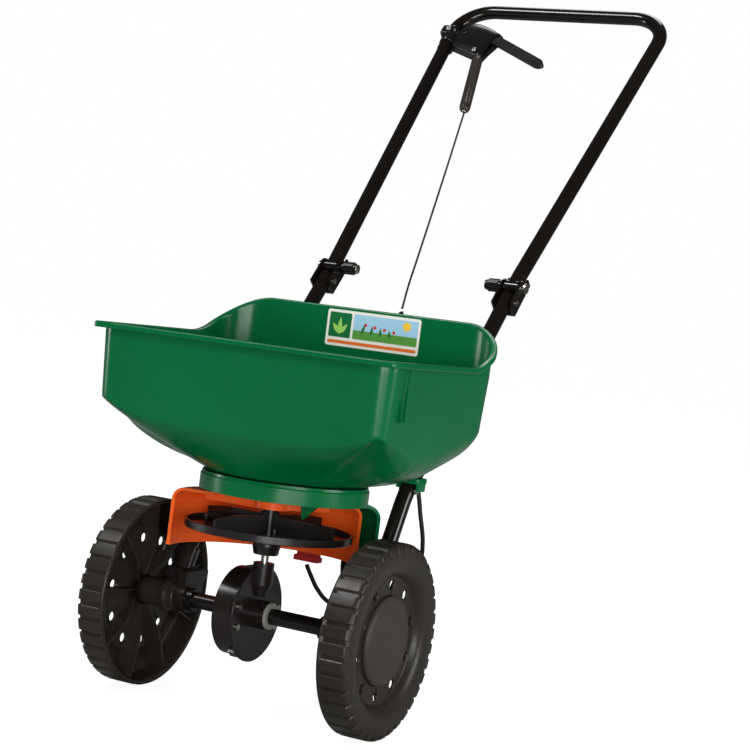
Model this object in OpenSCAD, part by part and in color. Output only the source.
// Broadcast lawn and garden spreader with a folding handle and an edge shield.
// Millimetres, +Z up, +X along the axle, -Y is the front.

/* [Hopper] */
// half width of the hopper wall at the rim
hopper_half_w = 173; // [150:1:200]
// front wall of the hopper, measured from the axle
hopper_front_y = -104.5; // [-130:0.5:-90]
// rear wall of the hopper, measured from the axle
hopper_rear_y = 163; // [140:1:190]
// height of the low part of the rim
rim_z = 387; // [360:1:420]
// extra height of the raised back of the rim
rim_rise = 51; // [20:1:70]
// wall thickness of the hopper
hopper_wall = 3; // [2:0.2:5]

/* [Collar and floor] */
// outer radius of the collar skirt
collar_r = 90.3; // [80:0.1:100]
// centre of the collar behind the axle
collar_y = 22.8; // [10:0.1:35]
// lower edge of the collar skirt
skirt_z = 227; // [215:1:235]
// radius of each outlet hole
outlet_r = 6.5; // [4:0.5:9]

/* [Wheels] */
// wheel radius over the lugs
wheel_r = 101.6; // [90:0.1:115]
// inner plane of each wheel
wheel_in_x = 127.7; // [115:0.1:140]
// outer plane of each wheel
wheel_out_x = 160.8; // [150:0.1:175]
// number of tread lugs
lug_count = 38; // [24:1:48]
// radius of the recess in the wheel's outer face
recess_r = 66.8; // [55:0.1:75]
// radius of the hub cap
cap_r = 47; // [35:0.5:55]
// axle radius
axle_r = 8.6; // [6:0.1:10]

/* [Impeller] */
// radius of the impeller's rim
impeller_r = 89; // [80:0.5:95]
// underside of the impeller disc
impeller_z = 187; // [180:0.5:195]
// height of the impeller's rim band
rim_band_h = 8; // [5:0.5:16]
// impeller shaft radius
shaft_r = 4; // [3:0.1:5]

/* [Gears] */
// teeth on the crown gear
crown_teeth = 40; // [30:1:60]
// teeth on the pinion
pinion_teeth = 8; // [6:1:12]
// pinion pitch radius
pinion_r = 7.2; // [6:0.1:9]

/* [Shield and hood] */
// outer radius of the turning edge shield
shield_r = 108; // [104:0.5:110]
// outer radius of the fixed rear hood
hood_r = 120; // [117:0.5:124]
// lower edge of the shield and of the hood
shield_z = 161; // [155:0.5:170]

/* [Handle] */
// outer radius of the handle and frame tubes
tube_r = 8.75; // [7:0.05:12]
// half distance between the fold joints
fold_x = 119.2; // [100:0.1:135]
// fold joint behind the axle
fold_y = 284.3; // [260:0.1:310]
// fold joint above the ground
fold_z = 480.5; // [440:0.1:520]
// half distance between the top corners of the handle
top_x = 149.1; // [130:0.1:170]
// length of each folding leg
leg_len = 501.6; // [440:0.1:560]
// slope of the handle above horizontal, in degrees
leg_slope = 48.4; // [40:0.1:60]
// bend radius of the handle's top corners
corner_r = 48; // [30:1:60]

/* [Hidden] */
axle_y = -258.8;
axle_z = wheel_r;
run_gap = 0.06;
seat_gap = 0.05;
tube_wall = 1.3;
edge_round_fn = 96;
$fn = 72;

lip_out = 5;
lip_h = 6.3;
front_corner = 16;
rear_corner_x = 50;
rear_corner_y = 45;
draft = 0.06;
funnel_r = 88;
funnel_z = 246;
bed = [0, collar_y];

function lerp(a, b, t) = a + (b - a) * t;
function smooth(t) = let (u = min(1, max(0, t))) u * u * (3 - 2 * u);
function unit2(v) = v / norm(v);

// plan outline of the hopper: [x, y, nx, ny], counter-clockwise from the front
front_n = 14;
side_n = 12;
arc_n = 5;
back_arc_n = 9;
back_n = 10;
hw = hopper_half_w;
fy = hopper_front_y;
ry = hopper_rear_y;
front_pts = [for (i = [0 : front_n])
    let (x = lerp(-hw + front_corner, hw - front_corner, i / front_n))
    [x, fy + 4 * (1 - pow(x / hw, 2)), 0, -1]];
fr_pts = [for (i = [1 : arc_n])
    let (a = -90 + 90 * i / arc_n)
    [hw - front_corner + front_corner * cos(a), fy + front_corner + front_corner * sin(a), cos(a), sin(a)]];
side_pts = [for (i = [1 : side_n])
    [hw, lerp(fy + front_corner, ry - rear_corner_y, i / side_n), 1, 0]];
rr_pts = [for (i = [1 : back_arc_n])
    let (a = 90 * i / back_arc_n,
         n = unit2([cos(a) / rear_corner_x, sin(a) / rear_corner_y]))
    [hw - rear_corner_x + rear_corner_x * cos(a), ry - rear_corner_y + rear_corner_y * sin(a), n[0], n[1]]];
back_pts = [for (i = [1 : back_n - 1])
    [lerp(hw - rear_corner_x, -hw + rear_corner_x, i / back_n), ry, 0, 1]];
function flip(p) = [-p[0], p[1], -p[2], p[3]];
left_src = concat(fr_pts, side_pts, rr_pts);
left_pts = [for (i = [len(left_src) - 1 : -1 : 0]) flip(left_src[i])];
plan = concat(front_pts, fr_pts, side_pts, rr_pts, back_pts, left_pts);
plan_n = len(plan);

function rim_at(y) = rim_z + (y > 74 ? rim_rise * pow((y - 74) / 93, 2) : 0);
// where the wall ends and the bottom begins
function side_w(p) = pow(abs(p[0]) / hw, 8);
function back_w(p) = smooth((p[1] - 40) / 110);
function crease_z(p) = lerp(lerp(286, 326, back_w(p)), lerp(310, 322, back_w(p)), side_w(p));
function ctrl_in(p) = lerp(2, 13, side_w(p));
function ctrl_z(p) = lerp(lerp(273, 296, back_w(p)), lerp(251, 284, back_w(p)), side_w(p));
function wall_pt(p, z, off) = let (d = off - draft * max(0, 378 - z))
    [p[0] + p[2] * d, p[1] + p[3] * d, z];
function ray_len(p) = let (q = wall_pt(p, crease_z(p), 0)) norm([q[0], q[1]] - bed);
function ray_dir(p) = let (q = wall_pt(p, crease_z(p), 0)) unit2([q[0], q[1]] - bed);
function bez(a, b, c, t) = (1 - t) * (1 - t) * a + 2 * t * (1 - t) * b + t * t * c;
function bez_d(a, b, c, t) = 2 * (1 - t) * (b - a) + 2 * t * (c - b);
bot_n = 8;
function bottom_pt(p, t, off) =
    let (a = [ray_len(p), crease_z(p)],
         b = [ray_len(p) - ctrl_in(p), ctrl_z(p)],
         c = [funnel_r, funnel_z],
         q = bez(a, b, c, t),
         d = unit2(bez_d(a, b, c, t)),
         r = q[0] + off * d[1],
         z = q[1] - off * d[0],
         e = ray_dir(p))
    [bed[0] + e[0] * r, bed[1] + e[1] * r, z];
function neck_pt(p, r, z) = let (e = ray_dir(p)) [bed[0] + e[0] * r, bed[1] + e[1] * r, z];

// the lip's front corners are squarer than the wall's
lip_square = 0.8;
function lip_at(p) = lip_out + (p[1] > 0 ? 0 :
    lip_square * (front_corner + lip_out) * (1 / max(abs(p[2]), abs(p[3])) - 1));

outer_levels = [for (p = plan) concat(
    [wall_pt(p, rim_at(p[1]), lip_at(p) - 1.6),
     wall_pt(p, rim_at(p[1]) - 1.8, lip_at(p)),
     wall_pt(p, rim_at(p[1]) - lip_h, lip_at(p)),
     wall_pt(p, rim_at(p[1]) - lip_h - 0.4, 0)],
    [wall_pt(p, 350, 0), wall_pt(p, crease_z(p), 0)],
    [for (k = [1 : bot_n]) bottom_pt(p, k / bot_n, 0)])];
inner_levels = [for (p = plan) concat(
    [neck_pt(p, funnel_r - 3.5, funnel_z), neck_pt(p, funnel_r - 3.5, funnel_z + 3)],
    [for (k = [bot_n - 1 : -1 : 1]) bottom_pt(p, k / bot_n, hopper_wall)],
    [wall_pt(p, crease_z(p), -hopper_wall), wall_pt(p, 350, -hopper_wall),
     wall_pt(p, rim_at(p[1]) - 2, -hopper_wall), wall_pt(p, rim_at(p[1]), -hopper_wall + 0.8)])];
function stitch(rows, cols, wrap) = [for (i = [0 : cols - 1], j = [0 : rows - (wrap ? 1 : 2)])
    let (i2 = (i + 1) % cols, j2 = (j + 1) % rows,
         a = i * rows + j, b = i2 * rows + j, c = i2 * rows + j2, d = i * rows + j2)
    each [[a, b, c], [a, c, d]]];
shell_cols = [for (i = [0 : plan_n - 1]) concat(outer_levels[i], inner_levels[i])];
shell_rows = len(shell_cols[0]);
solid_rows = len(outer_levels[0]);

// lower frame tube, from the fold joint down to the axle bearing
slope_y = cos(leg_slope);
slope_z = sin(leg_slope);
bend_pt = [116.5, 76, 246];
foot_pt = [115, 21, 122];
joint_pt = [fold_x, fold_y, fold_z];
joint_room = 16; // from the fold axis to the end of each tube
low_top = [119.1, fold_y - joint_room * slope_y, fold_z - joint_room * slope_z];

/* cables: route points */
conduit_d = 5;
cable_d = 2.4;

module at_axle() { translate([0, axle_y, 0]) children(); }
module on_axle() { translate([0, 0, axle_z]) children(); }
module rod_x(x0, x1, r) { translate([x0, 0, 0]) rotate([0, 90, 0]) cylinder(h = x1 - x0, r = r); }

// straight round bar between two points
module bar(a, b, r, fn = 48) {
    d = b - a;
    l = norm(d);
    translate(a) rotate([0, acos(d[2] / l), atan2(d[1], d[0])]) cylinder(h = l, r = r, $fn = fn);
}

function cross3(a, b) = [a[1] * b[2] - a[2] * b[1], a[2] * b[0] - a[0] * b[2], a[0] * b[1] - a[1] * b[0]];
function tangent(p, i) = let (n = len(p) - 1)
    unit2(i == 0 ? p[1] - p[0] : i == n ? p[n] - p[n - 1]
        : unit2(p[i + 1] - p[i]) + unit2(p[i] - p[i - 1]));
// a ring of points round each point of a path; up is never along the path
function ring(p, i, r, sides, up) =
    let (t = tangent(p, i), u = unit2(cross3(t, up)), v = unit2(cross3(t, u)),
         bend = (i == 0 || i == len(p) - 1) ? 1 : 1 / max(0.5, unit2(p[i + 1] - p[i]) * t))
    [for (k = [0 : sides - 1]) p[i] + r * (bend * cos(360 * k / sides) * u + sin(360 * k / sides) * v)];
// round tube carried along a path in a plane that up stands on; inner radius 0 makes it solid
module sweep(p, r, ri, sides, up) {
    n = len(p);
    outs = [for (i = [0 : n - 1]) each ring(p, i, r, sides, up)];
    ins = [for (i = [0 : n - 1]) each ring(p, i, ri, sides, up)];
    m = n * sides;
    wall_out = [for (i = [0 : n - 2], k = [0 : sides - 1])
        let (k2 = (k + 1) % sides, a = i * sides + k, b = i * sides + k2, c = b + sides, d = a + sides)
        each [[a, c, b], [a, d, c]]];
    wall_in = [for (f = wall_out) [m + f[0], m + f[2], m + f[1]]];
    lips = [for (k = [0 : sides - 1]) let (k2 = (k + 1) % sides, e = m - sides)
        each [[k, k2, m + k2], [k, m + k2, m + k],
              [e + k2, e + k, m + e + k], [e + k2, m + e + k, m + e + k2]]];
    caps = [[for (k = [0 : sides - 1]) k], [for (k = [sides - 1 : -1 : 0]) m - sides + k]];
    if (ri > 0)
        polyhedron(points = concat(outs, ins), faces = concat(wall_out, wall_in, lips), convexity = 10);
    else polyhedron(points = outs, faces = concat(wall_out, caps), convexity = 10);
}

// ---- hopper ----
module hopper_shell() {
    polyhedron(points = [for (c = shell_cols) each c],
        faces = stitch(shell_rows, plan_n, true), convexity = 10);
}

module hopper_block() {
    cap_top = [for (i = [0 : plan_n - 1]) i * solid_rows];
    cap_bot = [for (i = [plan_n - 1 : -1 : 0]) i * solid_rows + solid_rows - 1];
    top_mid = plan_n * solid_rows;
    tops = [for (i = [0 : plan_n - 1]) [cap_top[i], top_mid, cap_top[(i + 1) % plan_n]]];
    bots = [for (i = [0 : plan_n - 1]) [cap_bot[i], top_mid + 1, cap_bot[(i + 1) % plan_n]]];
    polyhedron(points = concat([for (c = outer_levels) each c],
            [[0, collar_y, rim_z - 20], [0, collar_y, funnel_z]]),
        faces = concat(stitch(solid_rows, plan_n, false), tops, bots), convexity = 10);
}

module tube_channel(r) {
    for (s = [-1, 1]) {
        bar([s * 117.6, 170, 351.8], [s * bend_pt[0], bend_pt[1], bend_pt[2]], r, 24);
        bar([s * bend_pt[0], bend_pt[1], bend_pt[2]], [s * 115.8, 50, 187.5], r, 24);
    }
}

module hopper() {
    color("seagreen") at_axle() {
        difference() {
            union() {
                hopper_shell();
                intersection() {
                    hopper_block();
                    tube_channel(13.4);
                }
            }
            tube_channel(10);
        }
        for (s = [-1, 1], y = [-74, -66])
            translate([s * (hw - 1.6) - 1, y - 1, 330]) cube([2, 2, 48]);
    }
}

module hopper_floor() {
    floor_z = 234;
    color("seagreen") at_axle() difference() {
        union() {
            translate([0, collar_y, 0]) rotate_extrude($fn = edge_round_fn) polygon([
                [collar_r - 3, skirt_z], [collar_r, skirt_z], [collar_r, funnel_z - 4],
                [collar_r - 1.2, funnel_z - 2.6], [collar_r - 1.6, funnel_z - 0.05],
                [0, funnel_z - 0.05], [0, floor_z], [collar_r - 3, floor_z]]);
            // hollow journal that carries the shield
            translate([0, 0, 213]) cylinder(h = 22, r = 12);
            // triangular gusset under the floor
            translate([0, 1.5, 0]) rotate([90, 0, 0]) linear_extrude(3)
                polygon([[33, 235], [57, 235], [38, 210]]);
            // slide rails of the shut-off plate
            for (s = [-1, 1]) {
                translate([s * 32.3 - 1.8, -55, 229]) cube([3.6, 125, 6]);
                translate([s * 30.3 - 2, -55, 228.4]) cube([4, 125, 2]);
            }
        }
        translate([0, collar_y, floor_z + 4]) cylinder(h = 10, r = funnel_r - 3.5);
        translate([0, 0, 205]) cylinder(h = 40, r = 7.2);
        for (p = [[-32, -30], [0, -40], [32, -30]])
            translate([p[0], p[1], 230]) cylinder(h = 12, r = outlet_r);
        // slot for the shut-off arm
        translate([-25, 95, 230.4]) cube([50, 30, 3.6]);
    }
}

module rear_hood() {
    color("seagreen") at_axle() rotate([0, 0, 42])
        rotate_extrude(angle = 96, $fn = edge_round_fn) difference() {
        union() {
            translate([hood_r - 6, shield_z]) square([6, 51]);
            translate([83, 223.5]) square([hood_r - 14 - 83, 3.45]);
            translate([hood_r - 15, shield_z + 51]) intersection() {
                circle(r = 15, $fn = 64);
                square(15);
            }
        }
        translate([hood_r - 15, shield_z + 51]) circle(r = 11.4, $fn = 64);
        translate([hood_r - 6.1, shield_z - 1]) square([2.6, 52]);
    }
}

// ---- gearbox ----
drum_r = 47;
drum_left_x = -28;
split_x = -3.2;
tower_r = 11;
module gearbox_drum() {
    color("dimgray") at_axle() difference() {
        union() {
            on_axle() rod_x(drum_left_x, split_x, drum_r);
            on_axle() rod_x(drum_left_x - 8, drum_left_x + 1, 15);
            intersection() {
                translate([0, 0, 140]) cylinder(h = 16, r = tower_r + 0.5);
                translate([-20, -20, 130]) cube([20 + split_x, 40, 30]);
            }
            translate([-17, -8, 140]) cube([17 + split_x, 16, 11]);
        }
        on_axle() rod_x(drum_left_x + 2.5, split_x + 1, drum_r - 2.5);
        on_axle() rod_x(drum_left_x - 9, split_x, 11);
        translate([0, 0, 132]) cylinder(h = 20, r = 9.4);
        translate([0, 0, 145]) cylinder(h = 20, r = shaft_r + run_gap);
    }
}

module gearbox_cover() {
    color("dimgray") at_axle() difference() {
        union() {
            on_axle() rod_x(split_x, -2, 51.5);
            on_axle() translate([-2, 0, 0]) rotate([0, 90, 0]) cylinder(h = 1.2, r1 = 51.5, r2 = 50.2);
            on_axle() rod_x(-1.5, 14, 15);
            intersection() {
                union() {
                    translate([0, 0, 133]) cylinder(h = 23, r = tower_r);
                    translate([0, 0, 120]) cylinder(h = 13.01, r1 = 5.6, r2 = tower_r);
                }
                translate([split_x, -30, 100]) cube([40, 60, 80]);
            }
            for (a = [35, 145, 215, 325]) on_axle() rotate([a, 0, 0])
                translate([-12, -5, 47.3]) cube([9.5, 10, 4]);
        }
        on_axle() rod_x(-6, 20, 11);
        difference() {
            translate([0, 0, 132]) cylinder(h = 18, r = 9.4);
            translate([-20, -20, 150]) cube(40);
        }
        translate([0, 0, 122.5]) cylinder(h = 50, r = shaft_r + run_gap);
        on_axle() rod_x(-14, split_x, drum_r - 2.5);
    }
}

module gearbox_screws() {
    color("silver") at_axle() for (a = [80, 110, 250, 280]) on_axle() rotate([a - 5, 0, 0])
        translate([0, 0, 41]) rod_x(-0.79, 1.4, 3.2);
}

module axle_bushings() {
    color("white") at_axle() on_axle() {
        difference() {
            union() {
                rod_x(14.05, 17, 14);
                rod_x(split_x + 0.2, 14.1, 10.95);
            }
            rod_x(-30, 30, axle_r + run_gap);
        }
        difference() {
            union() {
                rod_x(drum_left_x - 11, drum_left_x - 8.05, 14);
                rod_x(drum_left_x - 8.1, drum_left_x + 2, 10.95);
            }
            rod_x(-60, 0, axle_r + run_gap);
        }
    }
}

// ---- frame ----
low_dir = unit2(bend_pt - low_top);
foot_dir = unit2(foot_pt - bend_pt);
bend_run = 16;
frame_path = concat([low_top],
    [for (k = [0 : 4]) let (t = k / 4, a = bend_pt - bend_run * low_dir, c = bend_pt + bend_run * foot_dir)
        (1 - t) * (1 - t) * a + 2 * t * (1 - t) * bend_pt + t * t * c],
    [foot_pt]);
module frame_tube_left() {
    color("dimgray") at_axle() sweep(frame_path, tube_r, tube_r - tube_wall, 28, [1, 0, 0]);
}
module frame_tube_right() {
    color("dimgray") at_axle() mirror([1, 0, 0])
        sweep(frame_path, tube_r, tube_r - tube_wall, 28, [1, 0, 0]);
}

rivet_dist = 24;
module rivet_holes(r) {
    translate([0, fold_y - rivet_dist * slope_y, fold_z - rivet_dist * slope_z]) rod_x(0, 40, r);
}
module screw_at(r, l) {
    translate([0, bend_pt[1] + 3, bend_pt[2] + 4]) rod_x(-l / 2, l / 2, r);
}

module axle_bearing(s) {
    color("dimgray") at_axle() difference() {
        union() {
            on_axle() rod_x(s > 0 ? 86 : -98, s > 0 ? 98 : -86, 15);
            translate([s > 0 ? 87 : -97, -10, 104]) cube([10, 36, 27]);
            translate([s > 0 ? 87 : -125, 8, 119]) cube([38, 25, 12]);
            bar([s * 115.05, 23.4, 127.2], [s * 115.3, 34, 151], 11.6);
        }
        on_axle() rod_x(-130, 130, axle_r + run_gap);
        bar([s * foot_pt[0], foot_pt[1], foot_pt[2]],
            [s * bend_pt[0], bend_pt[1], bend_pt[2]], tube_r + seat_gap);
        translate([s > 0 ? 98 : -130, -30, 60]) cube([32, 90, 58.9]);
    }
}
module axle_bearing_left() { axle_bearing(1); }
module axle_bearing_right() { axle_bearing(-1); }

// local frame of the handle: X across, Y up the leg, Z out of its upper face
module on_leg() { translate([0, fold_y, fold_z]) rotate([leg_slope, 0, 0]) children(); }

cheek_in = 10.3;
cheek_t = 2.6;
module fold_bracket(s) {
    color("dimgray") at_axle() on_leg() translate([s * fold_x, 0, 0]) difference() {
        union() {
            for (k = [-1, 1]) {
                translate([k * (cheek_in + cheek_t / 2) - cheek_t / 2, -34, -11.8])
                    cube([cheek_t, 34, 20.6]);
                translate([k * (cheek_in + cheek_t / 2) - cheek_t / 2, 0, 0]) rotate([0, 90, 0])
                    cylinder(h = cheek_t, r = 9);
                translate([k * (cheek_in + cheek_t / 2) - cheek_t / 2, -2, -11.8]) cube([cheek_t, 18, 10]);
            }
            translate([-cheek_in - cheek_t, -34, -11.8]) cube([2 * (cheek_in + cheek_t), 50, 2.6]);
            // filler blocks that grip the lower tube
            for (k = [-1, 1]) translate([k * 9.6 - 1.2, -34, -10]) cube([2.4, 20, 12]);
        }
        rod_x(-30, 30, 3 + seat_gap);
        translate([0, -rivet_dist, 0]) rod_x(-30, 30, 1.6 + seat_gap);
        translate([0, -40, 0]) rotate([-90, 0, 0]) cylinder(h = 31, r = tube_r + 0.35);
    }
}
module fold_bracket_left() { fold_bracket(1); }
module fold_bracket_right() { fold_bracket(-1); }

module fold_bolts() {
    color("silver") at_axle() for (s = [-1, 1])
        translate([s * fold_x, fold_y, fold_z]) mirror([s > 0 ? 1 : 0, 0, 0]) {
        rod_x(-cheek_in - cheek_t - 0.2, cheek_in + cheek_t + 14, 3);
        rod_x(-cheek_in - cheek_t - 4.4, -cheek_in - cheek_t - 0.2, 6);
    }
}

module bracket_rivets() {
    color("silver") at_axle() for (s = [-1, 1])
        translate([s * fold_x, fold_y - rivet_dist * slope_y, fold_z - rivet_dist * slope_z]) {
            rod_x(-cheek_in - cheek_t - 1, cheek_in + cheek_t + 1, 1.6);
            for (k = [-1, 1]) translate([k * (cheek_in + cheek_t + 0.9), 0, 0]) rod_x(-0.85, 0.85, 3.2);
        }
}

module frame_screws() {
    color("silver") at_axle() for (s = [-1, 1]) translate([s * 117, 0, 0]) {
        screw_at(2.1, 19.4);
        translate([s * 10.4, 0, 0]) screw_at(4, 2);
    }
}

// ---- stand ----
stand_path = [[38, 146, 4], [38, 146, 24], [37, 143.5, 42],
    [32, 130.9, 132], [31, 128.4, 150], [31, 128.4, 200]];
stand_r = 7;
module stand_leg() {
    color("dimgray") at_axle() sweep(stand_path, stand_r, 0, 28, [1, 0, 0]);
}
module stand_foot() {
    color("black") at_axle() difference() {
        union() {
            translate([16, 134, 0]) cube([54, 24, 6]);
            translate([38, 146, 0]) cylinder(h = 18, r = 11);
        }
        translate([38, 146, 3.9]) cylinder(h = 40, r = stand_r + 0.1);
    }
}

// ---- drive ----
module axle() {
    color("dimgray") at_axle() on_axle() difference() {
        rod_x(-148, 148, axle_r);
        for (x = [-15, 120]) translate([x, 0, -12]) cylinder(h = 24, r = 2.05);
    }
}

module wheel(s) {
    w = wheel_out_x - wheel_in_x;
    disc_z = w - 11;
    difference() {
        union() {
            rotate_extrude($fn = 120) polygon([
                [wheel_r - 4.5, 0], [wheel_r - 0.6, 0], [wheel_r, 0.6], [wheel_r, w - 3.4],
                [wheel_r - 1.2, w - 1], [wheel_r - 3.4, w], [recess_r + 1, w], [recess_r, w - 0.8],
                [recess_r - 1.2, disc_z], [0, disc_z], [0, disc_z - 4], [recess_r + 1.8, disc_z - 4],
                [recess_r + 2.6, w - 4], [wheel_r - 5, w - 4]]);
            for (a = [0 : 40 : 320]) rotate([0, 0, a + 15]) translate([15, -1.5, 4])
                cube([wheel_r - 19, 3, disc_z - 7]);
        }
        translate([0, 0, -40]) cylinder(h = 90, r = axle_r + (s > 0 ? seat_gap : run_gap));
        for (i = [0 : lug_count - 1]) rotate([0, 0, 360 / lug_count * (i + 0.5)])
            translate([wheel_r - 2.8, -1.6, 3]) cube([6, 3.2, w]);
        for (i = [0 : 7]) rotate([0, 0, 45 * i + 10]) translate([56.5, 0, disc_z - 9])
            cylinder(h = 12, r = 3.6, $fn = 32);
    }
}

// long hub with a thrust shoulder, set against the web
hub_low = -28;
module hub(s) {
    difference() {
        union() {
            translate([0, 0, hub_low]) cylinder(h = wheel_out_x - wheel_in_x - 15.02 - hub_low, r = 14.5);
            translate([0, 0, hub_low + 9.8]) cylinder(h = 6, r = 16.8);
        }
        translate([0, 0, hub_low - 2]) cylinder(h = 60, r = axle_r + (s > 0 ? seat_gap : run_gap));
    }
}

module place_wheel(s) {
    on_axle() rotate([0, s > 0 ? 90 : -90, 0]) translate([0, 0, wheel_in_x]) children();
}

module drive_wheel() {
    color("dimgray") at_axle() place_wheel(1) wheel(1);
}
module drive_hub() {
    color("dimgray") at_axle() difference() {
        place_wheel(1) hub(1);
        on_axle() translate([120, 0, -20]) cylinder(h = 40, r = 2.05);
    }
}
module free_wheel() { color("dimgray") at_axle() place_wheel(-1) wheel(-1); }
module free_hub() { color("dimgray") at_axle() place_wheel(-1) hub(-1); }

module cap() {
    w = wheel_out_x - wheel_in_x;
    difference() {
        rotate_extrude($fn = 96) polygon([
            [0, w - 10.95], [cap_r, w - 10.95], [cap_r, w - 6.6], [cap_r - 1.6, w - 4.8],
            [cap_r - 5, w - 4.2], [16, w - 3], [0, w - 2.6]]);
        translate([0, 0, -5]) cylinder(h = 26, r = axle_r + 0.4);
    }
}
module drive_cap() { color("gray") at_axle() place_wheel(1) cap(); }
module free_cap() { color("gray") at_axle() place_wheel(-1) cap(); }

module crown_gear() {
    color("gainsboro") at_axle() on_axle() difference() {
        union() {
            rod_x(-12.5, -9, 42);
            rod_x(-23, -6.4, 13);
            for (i = [0 : crown_teeth - 1]) rotate([360 / crown_teeth * (i + 0.5), 0, 0])
                translate([-9.2, -0.8, 31]) cube([3.2, 1.6, 10]);
        }
        rod_x(-40, 10, axle_r + seat_gap);
        translate([-15, 0, -20]) cylinder(h = 40, r = 2.05);
    }
}

module axle_collars() {
    color("dimgray") at_axle() on_axle() for (x = [78, -85.5]) difference() {
        rod_x(x, x + 7.5, 12.5);
        rod_x(-100, 100, axle_r + seat_gap);
    }
}

module drive_pin() {
    color("silver") at_axle() on_axle() {
        translate([-15, 0, -14.4]) cylinder(h = 28.8, r = 2);
        translate([120, 0, -16]) cylinder(h = 32, r = 2);
    }
}

// ---- impeller ----
module pinion() {
    color("gainsboro") at_axle() difference() {
        union() {
            translate([0, 0, 132.2]) linear_extrude(10.4) union() {
                circle(r = 5.6, $fn = 48);
                for (i = [0 : pinion_teeth - 1]) rotate(360 / pinion_teeth * i)
                    polygon([[0, -1.5], [5.4, -1.45], [7.2, -1.05], [8.4, -0.55],
                        [8.4, 0.55], [7.2, 1.05], [5.4, 1.45], [0, 1.5]]);
            }
            translate([0, 0, 142.6]) cylinder(h = 2, r = 5.6);
        }
        translate([0, 0, 120]) cylinder(h = 40, r = shaft_r + seat_gap);
    }
}

module impeller_shaft() {
    color("silver") at_axle() difference() {
        translate([0, 0, 124]) cylinder(h = 132, r = shaft_r);
        translate([0, 0, 168.5]) rod_x(-8, 8, 1.3);
    }
}

module impeller() {
    color("dimgray") at_axle() difference() {
        union() {
            rotate_extrude($fn = edge_round_fn) polygon([
                [0, impeller_z], [impeller_r - 0.6, impeller_z], [impeller_r, impeller_z + 0.6],
                [impeller_r, impeller_z + rim_band_h - 0.6], [impeller_r - 0.6, impeller_z + rim_band_h],
                [impeller_r - 2.6, impeller_z + rim_band_h], [impeller_r - 3.4, impeller_z + 3],
                [0, impeller_z + 3]]);
            translate([0, 0, 165]) cylinder(h = 9, r1 = 13, r2 = 15);
            translate([0, 0, 174]) cylinder(h = 3, r = 15);
            translate([0, 0, 177]) cylinder(h = 11, r = 10);
            translate([0, 0, 188]) cylinder(h = 34, r = 6.3);
            for (a = [-100, -10, 80, 170]) rotate([0, 0, a]) rotate([90, 0, 0])
                translate([0, 0, -1.4]) linear_extrude(2.8) polygon([
                    [5, impeller_z + 2], [impeller_r - 2.4, impeller_z + 2], [impeller_r - 2.4, 203],
                    [60, 206.5], [16, 206.5], [8, 212], [5, 212]]);
            for (a = [-55, 35, 125, 215]) rotate([0, 0, a]) translate([66, 0, 188])
                cylinder(h = 12, r = 1.8);
        }
        translate([0, 0, 150]) cylinder(h = 90, r = shaft_r + seat_gap);
        translate([0, 0, 168.5]) rod_x(-20, 20, 1.35);
    }
}

module impeller_pin() { color("silver") at_axle() translate([0, 0, 168.5]) rod_x(-15.6, 15.6, 1.25); }

module agitator() {
    color("dimgray") at_axle() difference() {
        union() {
            translate([0, 0, 239]) cylinder(h = 12, r = 8);
            for (a = [20, 200]) rotate([0, 0, a]) {
                translate([6.5, 0, 245]) rotate([0, 90, 0]) cylinder(h = 28, r = 2.2);
                translate([34, 0, 243]) cylinder(h = 22, r = 2.6);
            }
        }
        translate([0, 0, 230]) cylinder(h = 40, r = shaft_r + seat_gap);
    }
}

// ---- shut-off ----
shut_travel = 14;
module shutoff_plate() {
    color("firebrick") at_axle() difference() {
        union() {
            translate([-30, -54, 230.9]) cube([60, 116, 2.6]);
            translate([-22, 60, 230.9]) cube([44, 67.4, 2.6]);
        }
        translate([-13.6, -30, 228]) cube([27.2, 46, 8]);
        for (p = [[-32, -30], [0, -40], [32, -30]])
            translate([p[0] * 0.6, p[1] - shut_travel, 225]) cylinder(h = 12, r = outlet_r);
    }
}

// arm that hangs from the plate behind the spinner and holds the end of the cable
module shutoff_arm() {
    color("firebrick") at_axle() {
        translate([-22, 124.4, 162]) cube([36, 3, 68.88]);
        translate([-31, 124.4, 150]) cube([29, 3, 14]);
        translate([-33, 121.4, 147]) cube([30, 12, 6]);
    }
}

// ---- edge shield ----
module edge_shield() {
    color("orangered") at_axle() {
        rotate([0, 0, 54]) rotate_extrude(angle = 144, $fn = edge_round_fn) difference() {
            union() {
                translate([shield_r - 3.4, shield_z]) square([3.4, 49]);
                translate([62, 219]) square([shield_r - 12 - 62, 3]);
                translate([shield_r - 12, 210]) intersection() {
                    circle(r = 12, $fn = 64);
                    square(12);
                }
                translate([shield_r - 4.4, shield_z - 1]) square([5, 4]);
            }
            translate([shield_r - 12, 210]) circle(r = 8.8, $fn = 64);
            translate([shield_r - 12, 200]) square([8.6, 10]);
        }
        difference() {
            union() {
                translate([0, 0, 213.5]) cylinder(h = 8, r = 17);
                for (a = [66, 126, 186]) rotate([0, 0, a]) translate([15, -7, 219]) cube([50, 14, 3]);
                for (a = [66, 126, 186]) rotate([0, 0, a]) translate([15, -1.5, 212]) cube([62, 3, 8]);
            }
            translate([0, 0, 200]) cylinder(h = 40, r = 12 + run_gap);
        }
    }
}

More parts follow.
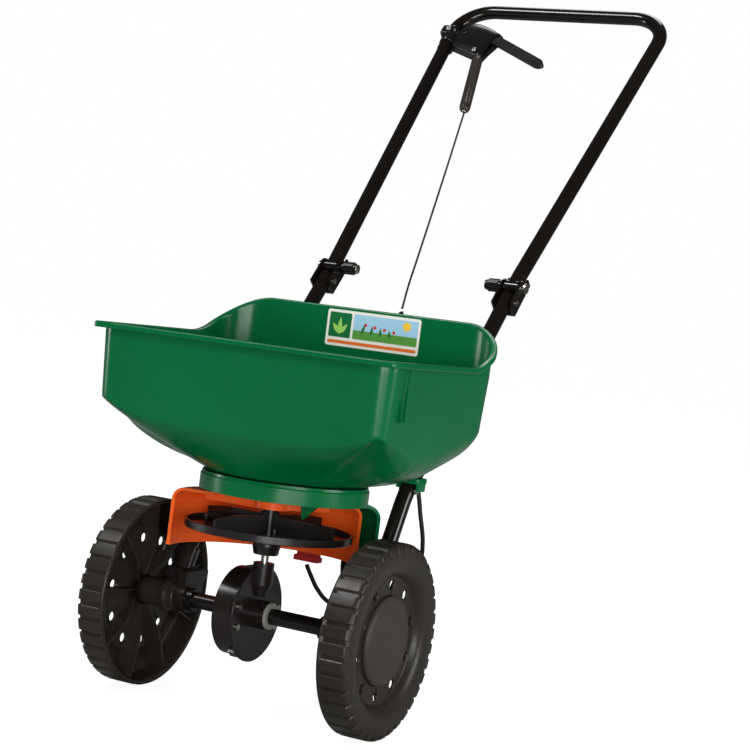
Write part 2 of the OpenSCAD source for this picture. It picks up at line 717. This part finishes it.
// ---- folding handle ----
lean = atan2(top_x - fold_x, leg_len);
corner_run = corner_r * tan((90 + lean) / 2);
corner_x = top_x - corner_run;
corner_n = 8;
right_half = concat(
    [[fold_x + sin(lean) * joint_room, cos(lean) * joint_room, 0]],
    [for (k = [0 : corner_n]) let (a = -lean + (90 + lean) * k / corner_n)
        [corner_x + corner_r * cos(a), leg_len - corner_r + corner_r * sin(a), 0]]);
handle_path = concat(right_half,
    [for (k = [len(right_half) - 1 : -1 : 0]) [-right_half[k][0], right_half[k][1], 0]]);
module handle_tube() {
    color("dimgray") at_axle() on_leg() sweep(handle_path, tube_r, tube_r - tube_wall, 28, [0, 0, 1]);
}
module handle_lugs() {
    color("dimgray") at_axle() on_leg() for (s = [-1, 1]) mirror([s < 0 ? 1 : 0, 0, 0]) difference() {
        union() {
            bar([fold_x, 0, 0], [fold_x + sin(lean) * joint_room, cos(lean) * (joint_room - 0.05), 0], tube_r);
            rod_x(fold_x - 8, fold_x + 8, 8.2);
        }
        rod_x(fold_x - 30, fold_x + 30, 3 + run_gap);
    }
}

// hand control on the right leg, in the handle's own plane
ctl_half = 7.2;
pivot_p = [-84, 443];
house_pts = [[-138.4, 447], [-136.4, 455], [-127, 469], [-117, 471.8], [-107, 469.6], [-78, 457], [-70.5, 450.6],
    [-68.5, 443.6], [-74, 436.6], [-81, 417], [-84.6, 402.4], [-95, 405.6], [-134.5, 423]];
// one half of the body: s = 1 is the upper one
module control_body(s) {
    difference() {
        union() {
            translate([0, 0, s > 0 ? 0.05 : -ctl_half]) linear_extrude(ctl_half - 0.05) polygon(house_pts);
            // sleeve around the tube
            translate([-145.13, 435, 0]) rotate([0, 0, 3.41]) rotate([90, 0, 0]) translate([0, 0, -14])
                cylinder(h = 28, r = tube_r + 3);
        }
        bar([-119.2, 0, 0], [-149.1, 501.6, 0], tube_r + 0.05);
        translate([-200, 380, s > 0 ? -59.95 : -0.05]) cube([200, 140, 60]);
    }
}

clamp_p = [-96.3, 416];
module control_hole(r) {
    translate([clamp_p[0], clamp_p[1], -30]) cylinder(h = 60, r = r);
}

module lever_room() {
    translate([pivot_p[0], pivot_p[1], -3.6]) linear_extrude(7.2) polygon(concat(
        [for (a = [24 : 12 : 300]) 13 * [cos(a), sin(a)]],
        [40 * [cos(-52), sin(-52)], 44 * [cos(-14), sin(-14)], 40 * [cos(24), sin(24)]]));
}

module control_shell() {
    color("dimgray") at_axle() on_leg() difference() {
        control_body(1);
        lever_room();
        control_hole(1.9);
        translate([pivot_p[0], pivot_p[1], -30]) cylinder(h = 60, r = 2.5 + seat_gap);
        bar([-84.2, 392, 0], [-97.4, 455, 0], 3.3);
        translate([-145.2, 436, 0]) rod_x(-14, 14, 1.65);
    }
}

module control_back() {
    color("dimgray") at_axle() on_leg() difference() {
        union() {
            control_body(-1);
            translate([-112, 446, -ctl_half - 2]) cylinder(h = 3, r = 17);
        }
        lever_room();
        control_hole(1.9);
        translate([pivot_p[0], pivot_p[1], -30]) cylinder(h = 60, r = 2.5 + seat_gap);
        bar([-84.2, 392, 0], [-97.4, 455, 0], 3.3);
        translate([-112, 446, -30]) cylinder(h = 26, r = 4 + run_gap);
        translate([-145.2, 436, 0]) rod_x(-14, 14, 1.65);
    }
}

module control_screws() {
    color("silver") at_axle() on_leg() {
        translate([clamp_p[0], clamp_p[1], -ctl_half]) {
            cylinder(h = 2 * ctl_half + 0.1, r = 1.85);
            translate([0, 0, 2 * ctl_half + 0.05]) cylinder(h = 2.4, r = 3.9);
        }
        translate([pivot_p[0], pivot_p[1], -ctl_half - 1]) cylinder(h = 2 * ctl_half + 2.4, r = 2.5);
        translate([pivot_p[0], pivot_p[1], ctl_half + 0.05]) cylinder(h = 2.4, r = 4.2);
        translate([-145.2, 436, 0]) rod_x(-13.4, 13.4, 1.6);
        translate([-145.2, 436, 0]) rod_x(-15.4, -12.4, 3.8);
    }
}

guide_len = 103;
module cable_guide() {
    color("gray") at_axle() on_leg() translate([-88.2, 401.2, 0]) rotate([0, 0, 12.4]) rotate([90, 0, 0])
        rotate_extrude($fn = 64) polygon([[1.9, 0], [7.2, 0], [7.2, guide_len - 3.4],
            [6.4, guide_len + 0.2], [4.4, guide_len + 2.6], [1.9, guide_len + 3.2]]);
}

module control_lever() {
    color("gray") at_axle() on_leg() difference() {
        union() {
            translate([pivot_p[0], pivot_p[1], -3.2]) cylinder(h = 6.4, r = 9);
            translate([pivot_p[0], pivot_p[1], 0]) rotate([0, 0, -29.4]) {
                translate([4, -5.6, -3]) cube([18, 11.2, 6]);
                translate([0, 0, -6]) linear_extrude(12)
                    polygon([[18, -4], [97, -4], [104, -0.6], [104, 5.4], [98, 9], [18, 9]]);
            }
        }
        translate([pivot_p[0], pivot_p[1], -30]) cylinder(h = 60, r = 2.5 + run_gap);
    }
}

module rate_dial() {
    color("dimgray") at_axle() on_leg() translate([-112, 446, 0]) {
        translate([0, 0, -ctl_half - 8]) cylinder(h = 5.8, r = 15);
        translate([0, 0, -ctl_half - 3]) cylinder(h = ctl_half - 1.4, r = 4);
        for (i = [0 : 11]) rotate([0, 0, 30 * i]) translate([15, 0, -ctl_half - 8])
            cylinder(h = 5.8, r = 1.6);
    }
}

module fold_knob(s) {
    color("gray") at_axle() translate([s * fold_x, fold_y, fold_z])
        mirror([s > 0 ? 1 : 0, 0, 0]) difference() {
        union() {
            rod_x(cheek_in + cheek_t + 0.4, cheek_in + cheek_t + 3.4, 6);
            rod_x(cheek_in + cheek_t + 3.2, cheek_in + cheek_t + 19, 6.6);
            rod_x(cheek_in + cheek_t + 18.9, cheek_in + cheek_t + 20.6, 5.8);
            for (i = [0 : 5]) rotate([60 * i, 0, 0]) translate([cheek_in + cheek_t + 4.4, -1.5, 5.4])
                cube([13, 3, 2.3]);
        }
        rod_x(0, cheek_in + cheek_t + 15, 3 + run_gap);
    }
}
module fold_knob_left() { fold_knob(1); }
module fold_knob_right() { fold_knob(-1); }

// ---- cables ----
function spline(p, i, t) = let (n = len(p) - 1,
    a = p[max(0, i - 1)], b = p[i], c = p[min(n, i + 1)], d = p[min(n, i + 2)])
    0.5 * (2 * b + (c - a) * t + (2 * a - 5 * b + 4 * c - d) * t * t + (3 * b - 3 * c + d - a) * t * t * t);
function smooth_path(p, steps) = concat(
    [for (i = [0 : len(p) - 2], k = [0 : steps - 1]) spline(p, i, k / steps)],
    [p[len(p) - 1]]);
conduit_pts = [[33, 178, 436], [48, 176, 400], [72, 176, 350], [90, 172, 305], [100, 160, 262],
    [104, 150, 225], [104, 156, 180], [97, 163, 140], [80, 166, 108], [52, 161, 96],
    [24, 154, 96], [3, 147, 104], [-9, 142, 116], [-17, 137, 131], [-22, 134, 142]];
control_pts = [[-64, 480.2, 701.4], [-40, 406, 636], [-16, 331, 571],
    [8, 255, 505], [22, 211, 468], [33, 180, 440]];
module cable_conduit() {
    color("dimgray") at_axle() sweep(smooth_path(conduit_pts, 5), conduit_d / 2, 0, 8, [0.3, 0.9, 0.31]);
}
module control_cable() {
    color("dimgray") at_axle() sweep(smooth_path(control_pts, 3), cable_d / 2, 0, 8, [1, 0, 0]);
}
module cable_stop() {
    color("seagreen") at_axle() difference() {
        translate([26, 168.02, 424]) cube([14, 14, 8]);
        bar([30, 178.6, 443], [40, 177, 418], 2.7, 24);
    }
}

hopper();
hopper_floor();
rear_hood();
gearbox_drum();
gearbox_cover();
gearbox_screws();
axle_bushings();
frame_tube_left();
frame_tube_right();
axle_bearing_left();
axle_bearing_right();
fold_bracket_left();
fold_bracket_right();
fold_bolts();
bracket_rivets();
frame_screws();
stand_leg();
stand_foot();
cable_conduit();
cable_stop();
axle();
drive_wheel();
drive_hub();
drive_cap();
crown_gear();
axle_collars();
drive_pin();
free_wheel();
free_hub();
free_cap();
pinion();
impeller_shaft();
impeller();
agitator();
impeller_pin();
shutoff_plate();
shutoff_arm();
edge_shield();
handle_tube();
handle_lugs();
control_shell();
control_back();
control_screws();
cable_guide();
control_cable();
control_lever();
rate_dial();
fold_knob_left();
fold_knob_right();
